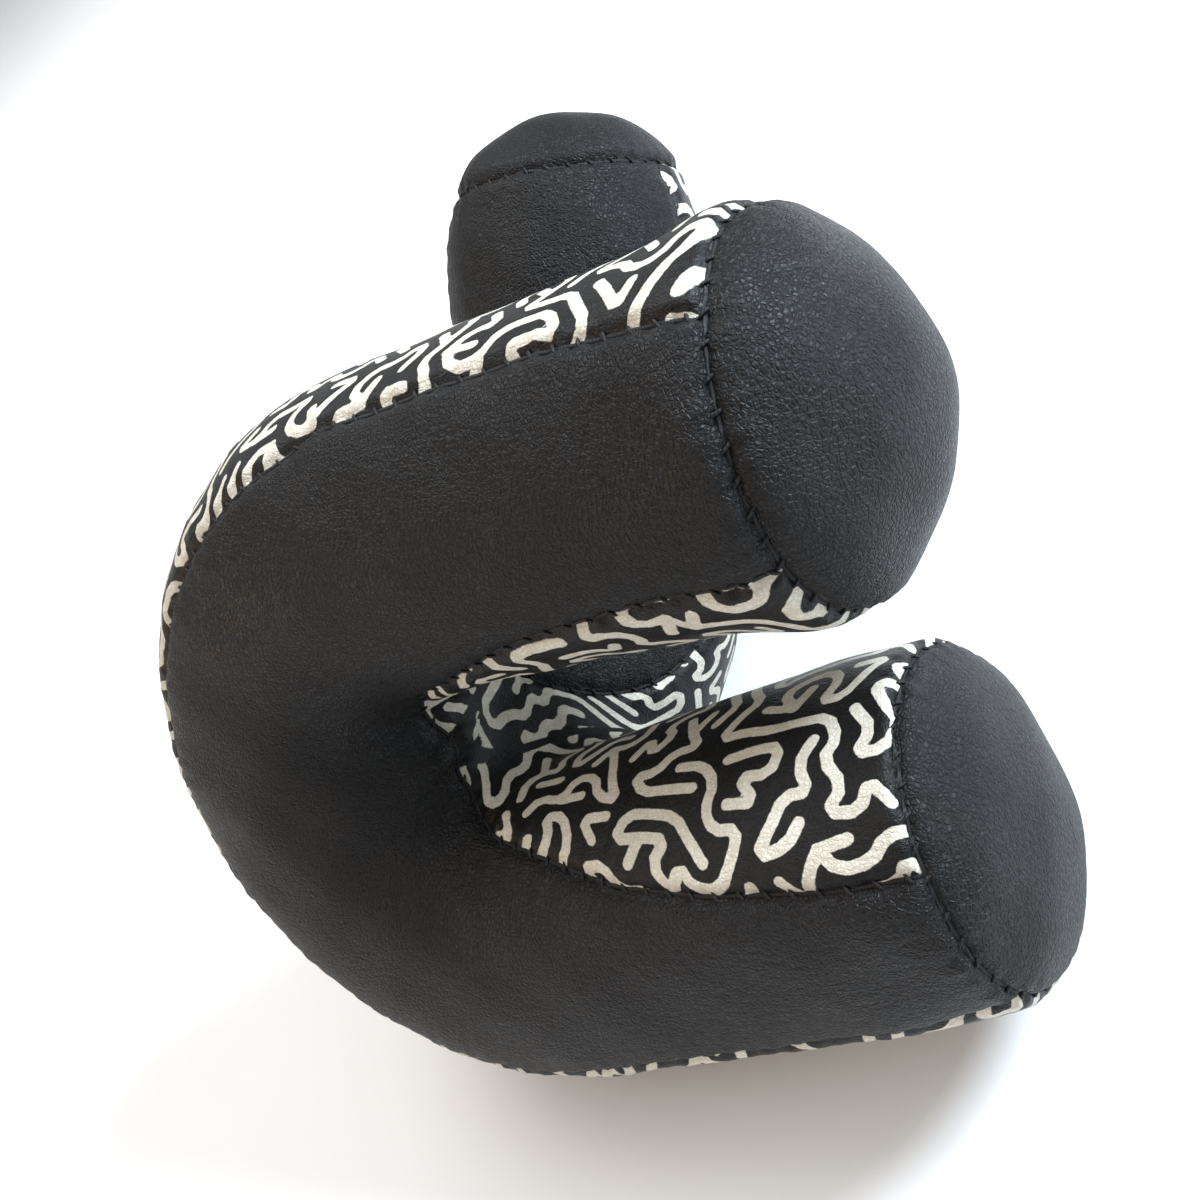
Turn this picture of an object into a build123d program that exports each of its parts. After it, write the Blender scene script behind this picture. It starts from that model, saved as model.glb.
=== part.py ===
from build123d import *
import copy
import math
import os

# A stuffed leather juggling ball with three thick arms. Millimetres, +Z up.
# Built first in the frame of its horseshoe: the bend of arms A and B is centred on the origin,
# both arms run towards +X, arm A above arm B, and arm C leaves the back of the bend towards +Y
# and turns up behind arm A. At the end everything is laid down on the surface that it rests on.

# Driving dimensions
arm_radius = 21.0            # outside of the leather on arms A and B
rear_arm_radius = 20.0       # outside of the leather on arm C
bend_radius = 27.5           # centre line of the bend between arms A and B
arm_a_length = 54.0          # straight part of arm A, from the bend to its cap seam
arm_b_length = 55.0          # straight part of arm B
arm_b_lean = 9.0             # arm B leans this much towards arm A, degrees
rear_root_length = 17.0      # arm C, from the middle of the bend to its elbow
rear_swing = 29.0            # arm C's root, swung from straight back to the open side, degrees
rear_droop = 30.0            # arm C's root, below level, degrees
rear_elbow_radius = 24.0     # centre line of arm C's elbow
rear_elbow_angle = 103.0     # how far arm C turns upward at its elbow, degrees
rear_arm_length = 57.0       # straight part of arm C, from its elbow to its cap seam
rear_turn = 52.0             # how far arm C's panels are turned round its axis, degrees
cap_height = 9.0             # crown of each end cap beyond its seam
leather = 1.2                # thickness of the leather
seam_gap = 1.0               # space between two panel edges, which the thread closes
thread_side_clearance = 0.05
thread_depth = 0.8           # how deep the thread's solid is, from the surface down
filling_clearance = 0.1      # between the leather and the filling
core_arc = 50.0              # half of the bend's angle that the core filling takes, degrees
rest_roll = -30.8            # turn about X that lays the ball down, degrees

QUARTER = 90.0


class Stretch:
    """A straight run or a round bend of one arm, starting on a plane."""

    def __init__(self, plane, length=0.0, radius=0.0, angle=0.0):
        self.plane = plane
        self.length = length
        self.radius = radius
        self.angle = angle

    def cut_start(self, trim):
        """The same straight run, starting later."""
        plane = self.plane.offset(trim)
        return Stretch(plane, length=self.length - trim)

    def solid(self, section):
        placed = self.plane * section
        if self.radius:
            centre = self.plane.origin + self.plane.x_dir * self.radius
            axis = Axis(centre, self.plane.y_dir)
            return revolve(placed, axis=axis, revolution_arc=self.angle)
        return extrude(placed, amount=self.length)


def sector(inner, outer, middle, width):
    """A ring sector: radii, the angle of its middle and its width in degrees."""
    def spot(radius, angle):
        turn = math.radians(angle)
        return (radius * math.cos(turn), radius * math.sin(turn))

    start = middle - width / 2
    end = middle + width / 2
    edges = [
        ThreePointArc(spot(outer, start), spot(outer, middle), spot(outer, end)),
        Line(spot(outer, end), spot(inner, end)),
        ThreePointArc(spot(inner, end), spot(inner, middle), spot(inner, start)),
        Line(spot(inner, start), spot(outer, start)),
    ]
    return make_face(edges)


def run(stretches, section):
    """One section carried along several stretches and joined."""
    whole = stretches[0].solid(section)
    for stretch in stretches[1:]:
        whole = whole + stretch.solid(section)
    return whole


def dome(plane, radius, height):
    """A crown on a plane: part of a ball, as wide as radius at its foot."""
    ball = (radius ** 2 + height ** 2) / (2 * height)
    halfway = math.asin(radius / ball) / 2
    shoulder = (ball * math.sin(halfway), ball * math.cos(halfway) - ball + height)
    arc = ThreePointArc((radius, 0), shoulder, (0, height))
    outline = [arc, Line((0, height), (0, 0)), Line((0, 0), (radius, 0))]
    half = Plane.XZ * make_face(outline)
    return plane * revolve(half, axis=Axis.Z)


# Where the arms run. On every stretch's plane, Z points along the arm and X points inwards,
# to the centre of the bend, so Y points to the front on the horseshoe.
def leg_a(length):
    plane = Plane(origin=(length, 0, bend_radius), x_dir=(0, 0, -1), z_dir=(-1, 0, 0))
    return Stretch(plane, length=length)


def bend_ab(start, end):
    """Part of the front bend, in degrees: 0 is arm A's end of it and 180 is arm B's."""
    turn = math.radians(start)
    inward = Vector(math.sin(turn), 0, -math.cos(turn))
    along = Vector(-math.cos(turn), 0, -math.sin(turn))
    plane = Plane(origin=inward * -bend_radius, x_dir=inward, z_dir=along)
    return Stretch(plane, radius=bend_radius, angle=end - start)


front_bend_angle = 2 * QUARTER + arm_b_lean


def after_bend():
    """Where the front bend ends and straight arm B starts."""
    turn = math.radians(front_bend_angle)
    inward = Vector(math.sin(turn), 0, -math.cos(turn))
    along = Vector(-math.cos(turn), 0, -math.sin(turn))
    return Plane(origin=inward * -bend_radius, x_dir=inward, z_dir=along)


def leg_b(length):
    return Stretch(after_bend(), length=length)


def rear_root_direction():
    swing = math.radians(rear_swing)
    droop = math.radians(rear_droop)
    level = math.cos(droop)
    return Vector(math.sin(swing) * level, math.cos(swing) * level, -math.sin(droop))


back = rear_root_direction()
rise = (Vector(0, 0, 1) - back * back.Z).normalized()
root_c = Vector(-bend_radius, 0, 0)
elbow_c = root_c + back * rear_root_length
elbow = math.radians(rear_elbow_angle)
along_c = back * math.cos(elbow) + rise * math.sin(elbow)
inward_c = rise * math.cos(elbow) - back * math.sin(elbow)
straight_c = elbow_c + (rise - inward_c) * rear_elbow_radius

arm_ends = {
    "a": Plane(origin=(arm_a_length, 0, bend_radius), x_dir=(0, 0, -1), z_dir=(1, 0, 0)),
    "b": after_bend().offset(arm_b_length),
    "c": Plane(origin=straight_c + along_c * rear_arm_length, x_dir=inward_c, z_dir=along_c),
}
arm_radii = {"a": arm_radius, "b": arm_radius, "c": rear_arm_radius}


def half_a(trim=0.0):
    return [leg_a(arm_a_length).cut_start(trim), bend_ab(0, QUARTER)]


def half_b(trim=0.0):
    return [bend_ab(QUARTER, front_bend_angle), leg_b(arm_b_length - trim)]


def horseshoe(trim=0.0):
    whole_bend = bend_ab(0, front_bend_angle)
    return [leg_a(arm_a_length).cut_start(trim), whole_bend, leg_b(arm_b_length - trim)]


def rear_root():
    plane = Plane(origin=root_c, x_dir=rise, z_dir=back)
    return Stretch(plane, length=rear_root_length)


def rear_arm(trim=0.0):
    elbow_start = Plane(origin=elbow_c, x_dir=rise, z_dir=back)
    straight = Plane(origin=straight_c, x_dir=inward_c, z_dir=along_c)
    return [
        rear_root(),
        Stretch(elbow_start, radius=rear_elbow_radius, angle=rear_elbow_angle),
        Stretch(straight, length=rear_arm_length - trim),
    ]


# Plain tubes that cut the pieces where the arms meet
front_inner = run(horseshoe(), Circle(arm_radius - leather))
rear_outer = run(rear_arm(), Circle(rear_arm_radius))

# Middles of the four panels round each section, in degrees from inwards
FRONT_PANELS = {"palm": 0.0, "side_ab": 90.0, "outer": 180.0, "back": 270.0}
rear_palm = QUARTER + rear_turn
REAR_PANELS = {
    "palm": rear_palm,
    "side_bc": rear_palm + QUARTER,
    "outer": rear_palm + 2 * QUARTER,
    "side_ac": rear_palm - QUARTER,
}


def panel_section(radius, middle):
    gap = math.degrees(seam_gap / radius)
    return sector(radius - leather, radius, middle, QUARTER - gap)


def thread_section(radius, middle):
    width = math.degrees((seam_gap - 2 * thread_side_clearance) / radius)
    return sector(radius - thread_depth, radius, middle, width)


def front_strip(stretches, section):
    return run(stretches, section) - rear_outer


def rear_strip(section):
    return run(rear_arm(seam_gap), section) - front_inner


def leather_panels():
    """The two printed panels and the three plain side panels."""
    def front(stretches, name):
        return front_strip(stretches, panel_section(arm_radius, FRONT_PANELS[name]))

    def rear(name):
        return rear_strip(panel_section(rear_arm_radius, REAR_PANELS[name]))

    return {
        "palm_panel": front(horseshoe(seam_gap), "palm") + rear("palm"),
        "outer_panel": front(horseshoe(seam_gap), "outer") + rear("outer"),
        "side_panel_ab": front(horseshoe(seam_gap), "side_ab"),
        "side_panel_ac": front(half_a(seam_gap), "back") + rear("side_ac"),
        "side_panel_bc": front(half_b(seam_gap), "back") + rear("side_bc"),
    }


def long_seams():
    """Thread between each printed panel and each side panel, from cap to cap."""
    def front(stretches, printed, side):
        middle = (FRONT_PANELS[printed] + FRONT_PANELS[side]) / 2
        if printed == "palm" and side == "back":
            middle = middle + 2 * QUARTER
        return front_strip(stretches, thread_section(arm_radius, middle))

    def rear(printed, side):
        middle = (REAR_PANELS[printed] + REAR_PANELS[side]) / 2
        if printed == "outer" and side == "side_ac":
            middle = middle + 2 * QUARTER
        return rear_strip(thread_section(rear_arm_radius, middle))

    seams = {}
    for printed in ("palm", "outer"):
        seams[f"seam_{printed}_ab"] = front(horseshoe(seam_gap), printed, "side_ab")
        ac = front(half_a(seam_gap), printed, "back") + rear(printed, "side_ac")
        bc = front(half_b(seam_gap), printed, "back") + rear(printed, "side_bc")
        seams[f"seam_{printed}_ac"] = ac
        seams[f"seam_{printed}_bc"] = bc
    return seams


def end_cap(arm):
    plane = arm_ends[arm]
    radius = arm_radii[arm]
    return dome(plane, radius, cap_height) - dome(plane, radius - leather, cap_height - leather)


def cap_seam(arm):
    """A ring of thread in the gap between an end cap and the four panels."""
    radius = arm_radii[arm]
    width = seam_gap - 2 * thread_side_clearance
    ring = Circle(radius) - Circle(radius - thread_depth)
    start = arm_ends[arm] * Plane.XY.offset(-seam_gap + thread_side_clearance)
    return extrude(start * ring, amount=width)


def filling_end(arm):
    inset = leather + filling_clearance
    return dome(arm_ends[arm], arm_radii[arm] - inset, cap_height - inset)


def fillings():
    """The beads: a core where the arms meet, and the rest of each arm."""
    inset = leather + filling_clearance
    front = Circle(arm_radius - inset)
    rear = Circle(rear_arm_radius - inset)
    root = run([rear_root()], rear)
    core_start = QUARTER - core_arc
    core_end = QUARTER + core_arc
    core = run([bend_ab(core_start, core_end)], front) + root
    arm_a = run([leg_a(arm_a_length), bend_ab(0, core_start)], front)
    arm_b = run([bend_ab(core_end, front_bend_angle), leg_b(arm_b_length)], front)
    arm_c = run(rear_arm()[1:], rear)
    return {
        "filling_core": core,
        "filling_arm_a": arm_a + filling_end("a") - root,
        "filling_arm_b": arm_b + filling_end("b") - root,
        "filling_arm_c": arm_c + filling_end("c") - run(horseshoe(), front),
    }


nodes = {**leather_panels(), **long_seams(), **fillings()}
for arm in arm_ends:
    nodes[f"end_cap_{arm}"] = end_cap(arm)
    nodes[f"cap_seam_{arm}"] = cap_seam(arm)

# Lay the ball down, then put the middle of its footprint on the origin
lay = Rotation(rest_roll, 0, 0)
nodes = {name: lay * shape for name, shape in nodes.items()}
leather_box = Compound(children=[copy.copy(nodes[name]) for name in nodes]).bounding_box()
shift = Location((-leather_box.center().X, -leather_box.center().Y, -leather_box.min.Z))

os.makedirs("parts", exist_ok=True)
for name, shape in nodes.items():
    placed = shift * shape
    placed.label = name
    export_step(placed, f"parts/{name}.step")
    print(name, round(placed.volume, 1))
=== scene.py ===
import math
import random
import bpy
import numpy as np
from mathutils import Matrix, Vector
from mathutils.kdtree import KDTree


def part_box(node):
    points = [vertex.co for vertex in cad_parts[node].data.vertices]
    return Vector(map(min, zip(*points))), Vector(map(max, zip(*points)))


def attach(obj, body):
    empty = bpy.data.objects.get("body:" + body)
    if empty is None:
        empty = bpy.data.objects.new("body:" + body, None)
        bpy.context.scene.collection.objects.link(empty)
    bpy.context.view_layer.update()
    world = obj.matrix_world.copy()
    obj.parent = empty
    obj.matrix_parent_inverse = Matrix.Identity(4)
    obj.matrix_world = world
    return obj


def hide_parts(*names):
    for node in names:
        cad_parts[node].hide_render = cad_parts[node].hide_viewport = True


# A stuffed leather juggling ball with three thick arms, sewn from eight pieces of leather.
# Metres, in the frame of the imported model. The sewing pattern is laid out in millimetres, in the
# frame of the horseshoe: the bend of arms A and B round its origin and both arms towards +X.

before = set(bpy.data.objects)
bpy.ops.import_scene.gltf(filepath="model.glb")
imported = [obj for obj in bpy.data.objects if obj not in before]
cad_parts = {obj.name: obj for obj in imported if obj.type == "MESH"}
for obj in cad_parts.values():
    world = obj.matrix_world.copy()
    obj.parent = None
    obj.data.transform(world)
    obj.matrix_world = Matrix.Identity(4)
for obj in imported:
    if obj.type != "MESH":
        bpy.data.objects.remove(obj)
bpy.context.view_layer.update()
draw = random.Random(7)
MM = 0.001

# The pattern's sizes, in millimetres and degrees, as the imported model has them
arm_radius = 21.0
rear_arm_radius = 20.0
bend_radius = 27.5
arm_a_length = 54.0
arm_b_length = 55.0
arm_b_lean = 9.0
rear_root_length = 17.0
rear_swing = math.radians(29.0)
rear_droop = math.radians(30.0)
rear_elbow_radius = 24.0
rear_elbow_angle = math.radians(103.0)
rear_arm_length = 57.0
rear_turn = 52.0
rear_turn_start = 12.0
rear_turn_length = 45.0
rest_roll = math.radians(-30.8)
cap_seam_place = Vector((53.5, 0.0, 27.5))

# How the leather is stuffed and sewn
body_voxel = 1.7
start_inset = 0.5
swell_limit = 1.1
sink_limit = 0.4
pressure = 4.0
junction_width = 8.0
fillet_rounds = 36
corner_rise = 0.9
corner_reach = 7.0
corner_end = 9.0
skin_drop = 0.45
groove_depth = 0.95
groove_width = 0.85
pucker_depth = 0.2
pucker_reach = 2.2
bight_fullness = 3.6
cap_fullness = {"cap_a": 5.8, "cap_b": -2.4, "cap_c": 1.0}
shoulder_drop = {"cap_a": -1.9, "cap_b": 0.6, "cap_c": 2.6}
shoulder_place = {"cap_a": 4.0, "cap_b": 1.0, "cap_c": 3.0}
shoulder_reach = 11.0
stitch_pitch = 3.0
leather_thickness = 1.1
filling_inset = 3.2
filling_thinned_to = 0.3

# Where arm C takes over from the bend, and how its edge is rounded
rear_start = 4.0
rear_start_length = 10.0
fillet_start = 2.0
fillet_start_length = 8.0
fillet_reach = 6.0

# Where the inside of the bend is packed fullest: the turn round the bend, and how far it reaches
bight_turn = 1.66
bight_turn_reach = 0.62
bight_angle_reach = 0.95

# The seams, the thread and the small unevenness of the leather
seam_step = 0.5
cut_snap = 0.06
uneven_height = 0.16
stitch_half_length = 0.95
stitch_half_width = 0.21
stitch_slant = 0.62
stitch_slant_spread = 0.16
stitch_height_spread = 0.05
stitch_bow = 0.30
stitch_lift = 0.5 * groove_depth - 0.02
cord_radius = 0.34
cord_depth = 0.12
cord_sides = 6

# The printed lines
line_pitch = 3.35
line_half_width = 0.68
row_height = 0.866
wobble = 0.42
bend_cut = 0.26
bare_band = 1.3
lead_per_mm = 1.3
front_print_length = 360.0
rear_print_length = 200.0
print_half_width = 30.0


# ---------- the frame of the sewing pattern

roll = Matrix.Rotation(rest_roll, 3, "X")
low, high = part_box("cap_seam_a")
pattern_origin = (low + high) / 2 / MM - roll @ cap_seam_place
roll_rows = np.array(roll)


def to_pattern(points):
    """Metres in the model's frame to millimetres in the pattern's frame."""
    return (points / MM - np.array(pattern_origin)) @ roll_rows


def to_model(points):
    return (points @ roll_rows.T + np.array(pattern_origin)) * MM


def smooth_step(x):
    x = np.clip(x, 0.0, 1.0)
    return x * x * (3 - 2 * x)


def dot(points, direction):
    return points @ np.array(direction)


# ---------- where each arm runs

bend_angle = math.pi + math.radians(arm_b_lean)
bend_length = bend_radius * bend_angle
front_length = arm_a_length + bend_length + arm_b_length
along_b = Vector((-math.cos(bend_angle), 0, -math.sin(bend_angle)))
inward_b = Vector((math.sin(bend_angle), 0, -math.cos(bend_angle)))
start_b = -bend_radius * inward_b

level = math.cos(rear_droop)
back = Vector((math.sin(rear_swing) * level, math.cos(rear_swing) * level, -math.sin(rear_droop)))
rise = (Vector((0, 0, 1)) - back * back.z).normalized()
across_c = back.cross(rise)
root_c = Vector((-bend_radius, 0, 0))
elbow_centre = root_c + back * rear_root_length + rise * rear_elbow_radius
along_c = back * math.cos(rear_elbow_angle) + rise * math.sin(rear_elbow_angle)
inward_c = rise * math.cos(rear_elbow_angle) - back * math.sin(rear_elbow_angle)
start_c = elbow_centre - inward_c * rear_elbow_radius
elbow_length = rear_elbow_radius * rear_elbow_angle
rear_length = rear_root_length + elbow_length + rear_arm_length


def nearest(runs):
    """Of several runs' (distance, place along, turn, angle round), the nearest one's, point by point."""
    distance = np.stack([run[0] for run in runs])
    choice = distance.argmin(0)
    rows = np.arange(distance.shape[1])
    return [np.stack([run[k] for run in runs])[choice, rows] for k in range(4)]


def one_run(inside, inward, side, place, turn):
    """One run's distance, place along, turn and angle round, far off where it isn't inside."""
    return np.where(inside, np.hypot(inward, side), 1e6), place, turn, np.arctan2(side, inward)


def on_front_arms(p):
    """For points in the pattern's frame: distance from the middle line of arms A and B, place
    along it from arm A's cap seam, turn round the bend, and angle round the arm from inwards."""
    x, front, z = p[:, 0], -p[:, 1], p[:, 2]
    run_a = one_run(x >= 0, bend_radius - z, front, arm_a_length - x, 0 * x)
    turn = np.arctan2(-x, z)
    turn = np.where(turn < -math.pi / 2, turn + 2 * math.pi, turn)
    run_bend = one_run((turn >= 0) & (turn <= bend_angle), bend_radius - np.hypot(x, z), front,
                       arm_a_length + bend_radius * turn, turn)
    q = p - np.array(start_b)
    t = dot(q, along_b)
    run_b = one_run(t >= 0, dot(q, inward_b), front, arm_a_length + bend_length + t,
                    0 * t + bend_angle)
    return nearest([run_a, run_bend, run_b])


def on_rear_arm(p):
    """The same for arm C, from the middle of the bend."""
    q = p - np.array(root_c)
    t, side = dot(q, back), dot(q, across_c)
    run_root = one_run(t <= rear_root_length, dot(q, rise), side, t, 0 * t)
    q = p - np.array(elbow_centre)
    a, b = dot(q, back), dot(q, rise)
    turn = np.arctan2(a, -b)
    run_elbow = one_run((turn >= 0) & (turn <= rear_elbow_angle), rear_elbow_radius - np.hypot(a, b),
                        side, rear_root_length + rear_elbow_radius * turn, turn)
    q = p - np.array(start_c)
    t = dot(q, along_c)
    run_c = one_run(t >= 0, dot(q, inward_c), side, rear_root_length + elbow_length + t,
                    0 * t + rear_elbow_angle)
    return nearest([run_root, run_elbow, run_c])


def rear_share(front_run, rear_run):
    """How far a point belongs to arm C, from 0 to 1, and its distance from the change."""
    lead = (front_run[0] - arm_radius) - (rear_run[0] - rear_arm_radius)
    share = smooth_step(0.5 + lead / junction_width)
    share = share * smooth_step((rear_run[1] - rear_start) / rear_start_length)
    return share, lead


# The angles of the two printed strips' edges round arms A and B, against the place along them
PALM_FRONT = ([0, 20, 35, 45, 60, 90, 104, 123, 143, 154, 164, 175, 190, 200],
              [62, 60, 54, 42, 22, 8, 6, 12, 28, 44, 58, 67, 74, 76])
OUTER_FRONT = ([0, 20, 48, 56, 64, 75, 110, 140, 200], [131, 139, 140, 132, 125, 122, 122, 130, 135])
PALM_BACK = -48.0
OUTER_BACK = 226.0

# The strips' edges round arm C at its root, from the middle of the palm strip, and how much each
# edge has moved round by the cap
PALM_REAR = ((-45.0, 16.0), (45.0, 3.0))
OUTER_REAR = ((135.0, -5.0), (225.0, -34.0))
REAR_CHANGE_START = 30.0
REAR_CHANGE_LENGTH = 40.0
NOWHERE = -30.0


def strip(angle, first, last, radius):
    """Millimetres inside a strip that runs from one angle to another, in degrees."""
    middle, half = (first + last) / 2, (last - first) / 2
    off = (np.degrees(angle) - middle + 180) % 360 - 180
    return np.radians(half - np.abs(off)) * radius, np.radians(off) * radius


def turned_at(s_c):
    """Where the middle of the palm strip is round arm C, in degrees."""
    return 90 + rear_turn * smooth_step((s_c - rear_turn_start) / rear_turn_length)


def strip_length(s_c, opposite):
    """The length along the middle of a strip of arm C, which is long or short round the elbow."""
    places = np.linspace(0, rear_length, 500)
    in_elbow = (places > rear_root_length) & (places < rear_root_length + elbow_length)
    facing = np.radians(turned_at(places) + opposite)
    rate = 1 - in_elbow * rear_arm_radius / rear_elbow_radius * np.cos(facing)
    total = np.concatenate([[0], np.cumsum((rate[1:] + rate[:-1]) / 2 * np.diff(places))])
    return np.interp(s_c, places, total) + np.minimum(s_c, 0) + np.maximum(s_c - rear_length, 0)


def pattern_fields(p):
    """What the pattern says at each point: how far inside the palm strip, the outer strip and
    the three caps it is, in millimetres."""
    front_run, rear_run = on_front_arms(p), on_rear_arm(p)
    share, lead = rear_share(front_run, rear_run)
    s, s_c = front_run[1], rear_run[1]
    palm_front = np.interp(s, *PALM_FRONT)
    outer_front = np.interp(s, *OUTER_FRONT)
    palm, palm_off = strip(front_run[3], PALM_BACK, palm_front, arm_radius)
    outer, outer_off = strip(front_run[3], outer_front, OUTER_BACK, arm_radius)
    turned = turned_at(s_c)
    wide = smooth_step((s_c - REAR_CHANGE_START) / REAR_CHANGE_LENGTH)
    palm_edges, outer_edges = ([turned + start + more * wide for start, more in edges]
                               for edges in (PALM_REAR, OUTER_REAR))
    palm_c, palm_c_off = strip(rear_run[3], *palm_edges, rear_arm_radius)
    outer_c, outer_c_off = strip(rear_run[3], *outer_edges, rear_arm_radius)
    return {
        "palm": (1 - share) * palm + share * palm_c,
        "outer": (1 - share) * outer + share * outer_c,
        "cap_a": np.where(share < 0.5, -s, NOWHERE),
        "cap_b": np.where(share < 0.5, s - front_length, NOWHERE),
        "cap_c": np.where(share > 0.5, s_c - rear_length, NOWHERE),
        "share": share, "lead": lead, "front": front_run, "rear": rear_run,
        "palm_off": palm_off, "outer_off": outer_off,
        "palm_c_off": palm_c_off, "outer_c_off": outer_c_off,
    }


# ---------- small mesh helpers

def deselect_all():
    bpy.ops.object.select_all(action="DESELECT")


def put_in_scene(piece):
    bpy.context.scene.collection.objects.link(piece)
    return piece


def activate(piece):
    deselect_all()
    piece.select_set(True)
    bpy.context.view_layer.objects.active = piece


def apply_modifiers(piece):
    activate(piece)
    for modifier in list(piece.modifiers):
        bpy.ops.object.modifier_apply(modifier=modifier.name)


def edit_whole(piece, tool, **given):
    """Use one edit-mode tool on every part of a piece."""
    activate(piece)
    bpy.ops.object.mode_set(mode="EDIT")
    bpy.ops.mesh.select_all(action="SELECT")
    tool(**given)
    bpy.ops.object.mode_set(mode="OBJECT")


def new_piece(name, points, faces):
    mesh = bpy.data.meshes.new(name)
    mesh.from_pydata([tuple(v) for v in points], [], [tuple(int(i) for i in f) for f in faces])
    mesh.validate()
    return put_in_scene(bpy.data.objects.new(name, mesh))


def points_of(mesh):
    flat = np.zeros(len(mesh.vertices) * 3)
    mesh.vertices.foreach_get("co", flat)
    return flat.reshape(-1, 3)


def triangles_of(mesh):
    mesh.calc_loop_triangles()
    flat = np.zeros(len(mesh.loop_triangles) * 3, np.int32)
    mesh.loop_triangles.foreach_get("vertices", flat)
    return flat.reshape(-1, 3)


def sides_of(triangles):
    return np.concatenate([triangles[:, [0, 1]], triangles[:, [1, 2]], triangles[:, [2, 0]]])


def edges_of(triangles):
    return np.unique(np.sort(sides_of(triangles), axis=1), axis=0)


def quad_edges(quads):
    """The sides of four-sided faces. Each point also counts as its own neighbour, which steadies
    the smoothing."""
    return edges_of(np.concatenate([quads[:, [k, (k + 1) % 4, (k + 1) % 4]] for k in range(4)]))


def unit(directions):
    return directions / np.maximum(np.linalg.norm(directions, axis=1, keepdims=True), 1e-20)


def normals_of(points, triangles):
    a, b, c = (points[triangles[:, k]] for k in range(3))
    face = np.cross(b - a, c - a)
    total = np.zeros_like(points)
    for k in range(3):
        np.add.at(total, triangles[:, k], face)
    return unit(total)


def relax(points, edges, weight, rounds):
    """Each point moves towards the mean of its neighbours by its weight, several times."""
    count = np.bincount(edges.ravel(), minlength=len(points))[:, None]
    weight = np.broadcast_to(weight, len(points))[:, None]
    for _ in range(rounds):
        total = np.zeros_like(points)
        np.add.at(total, edges[:, 0], points[edges[:, 1]])
        np.add.at(total, edges[:, 1], points[edges[:, 0]])
        points = points + (total / np.maximum(count, 1) - points) * weight
    return points


def connected(count, faces):
    """For each of so many points, the first point of the part that the faces join it to."""
    part = np.arange(count)
    while True:
        before = part.copy()
        least = part[faces].min(1)
        for k in range(faces.shape[1]):
            np.minimum.at(part, faces[:, k], least)
        part = part[part]
        if (part == before).all():
            return part


def search_tree(spots):
    tree = KDTree(len(spots))
    for k, spot in enumerate(spots):
        tree.insert(spot, k)
    tree.balance()
    return tree


def largest_shell(points, faces):
    """Only the outermost closed skin: the connected part with the most points."""
    part = connected(len(points), faces)
    keep = part == np.bincount(part).argmax()
    new_index = np.cumsum(keep) - 1
    return points[keep], new_index[faces[keep[faces[:, 0]]]]


# ---------- the stuffed body in one skin

def joined_copy():
    """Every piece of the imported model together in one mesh."""
    points, faces, count = [], [], 0
    for node in sorted(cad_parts):
        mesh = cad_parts[node].data
        own = points_of(mesh)
        points.append(own)
        faces.append(triangles_of(mesh) + count)
        count += len(own)
    return new_piece("body", np.concatenate(points), np.concatenate(faces))


def stuffed_body():
    """The model's pieces as one even skin, rounded where arm C leaves the bend, and stuffed."""
    body = joined_copy()
    edit_whole(body, bpy.ops.mesh.remove_doubles, threshold=0.00001)
    remesh = body.modifiers.new("even skin", "REMESH")
    remesh.mode = "VOXEL"
    remesh.voxel_size = body_voxel * MM
    remesh.use_smooth_shade = True
    apply_modifiers(body)
    quads = np.array([list(face.vertices) for face in body.data.polygons if len(face.vertices) == 4])
    points, quads = largest_shell(points_of(body.data), quads)
    bpy.data.objects.remove(body)
    body = new_piece("body", points, quads)
    triangles = triangles_of(body.data)
    edges = quad_edges(quads)
    found = pattern_fields(to_pattern(points))
    near = np.exp(-(found["lead"] / fillet_reach) ** 2)
    near = near * smooth_step((found["rear"][1] - fillet_start) / fillet_start_length)
    points = relax(points, edges, 0.5, 4)
    points = relax(points, edges, 0.6 * near, fillet_rounds)
    points = points - normals_of(points, triangles) * start_inset * MM
    body.data.vertices.foreach_set("co", points.ravel())
    body.data.update()
    inflate(body, points)
    finer = body.modifiers.new("finer", "SUBSURF")
    finer.levels = 1
    finer.render_levels = 1
    apply_modifiers(body)
    return body


def inflate(body, start):
    """Settle the skin under a little pressure from inside. Only the part of each point's move
    along its normal is kept, within the limits."""
    scene = bpy.context.scene
    cloth = body.modifiers.new("stuffing", "CLOTH")
    skin = cloth.settings
    skin.quality = 6
    skin.mass = 0.0006
    skin.tension_stiffness = 6
    skin.compression_stiffness = 6
    skin.shear_stiffness = 3
    skin.bending_stiffness = 0.05
    skin.use_pressure = True
    skin.uniform_pressure_force = pressure
    skin.effector_weights.gravity = 0
    cloth.collision_settings.use_collision = False
    cloth.point_cache.frame_start = 1
    cloth.point_cache.frame_end = 20
    for step in range(1, 21):
        scene.frame_set(step)
    shown = body.evaluated_get(bpy.context.evaluated_depsgraph_get())
    moved = points_of(shown.data)
    body.modifiers.remove(cloth)
    scene.frame_set(1)
    triangles = triangles_of(body.data)
    outward = normals_of(start, triangles)
    swell = ((moved - start) * outward).sum(1)
    swell = np.clip(np.nan_to_num(swell), -sink_limit * MM, swell_limit * MM)
    swell = relax(swell[:, None], edges_of(triangles), 0.5, 3)
    body.data.vertices.foreach_set("co", (start + outward * swell).ravel())
    body.data.update()


# ---------- cutting along the pattern

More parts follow.
